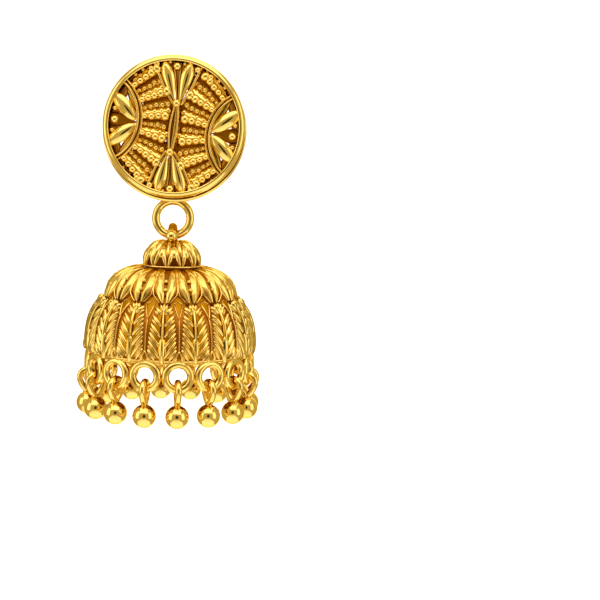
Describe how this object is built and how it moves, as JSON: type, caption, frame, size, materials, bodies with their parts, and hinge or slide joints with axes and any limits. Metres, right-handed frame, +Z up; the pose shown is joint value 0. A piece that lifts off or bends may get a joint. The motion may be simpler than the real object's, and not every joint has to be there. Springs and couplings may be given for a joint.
{
  "type": "jhumka earring",
  "caption": "Jhumka earring: a round openwork stud with a post, a link ring, and a hanging domed bell with a fringe of ball drops.",
  "frame": {"origin": "centre of the stud's back face, where the ear post leaves it and where the earring is pinned on", "axes": "+Z up, -Y towards the viewer, +Y along the ear post away from the stud, the bell hangs down -Z"},
  "size_m": [0.0254, 0.0255, 0.0504],
  "materials": {
    "polished_gold": "bright polished yellow gold plating",
    "cast_gold": "polished relief with darker, satin hollows"
  },
  "bodies": {
    "stud": {"stud_disc": "polished_gold", "ear_post": "polished_gold", "link_ring": "polished_gold"},
    "bell": {"bell_cap": "polished_gold", "bell_crown": "cast_gold", "bell_skirt": "cast_gold", "ring_row": "polished_gold", "drop_01": "polished_gold", "drop_02": "polished_gold", "drop_03": "polished_gold", "drop_04": "polished_gold", "drop_05": "polished_gold", "drop_06": "polished_gold", "drop_07": "polished_gold", "drop_08": "polished_gold", "drop_09": "polished_gold", "drop_10": "polished_gold", "drop_11": "polished_gold", "drop_12": "polished_gold", "drop_13": "polished_gold", "drop_14": "polished_gold", "drop_15": "polished_gold", "drop_16": "polished_gold"}
  },
  "joints": [
    {"name": "bell_swing", "type": "hinge", "parent": "stud", "child": "bell", "pos_m": [0, 0.00065, -0.015], "axis": [1, 0, 0], "range_deg": [-95, 95]}
  ]
}
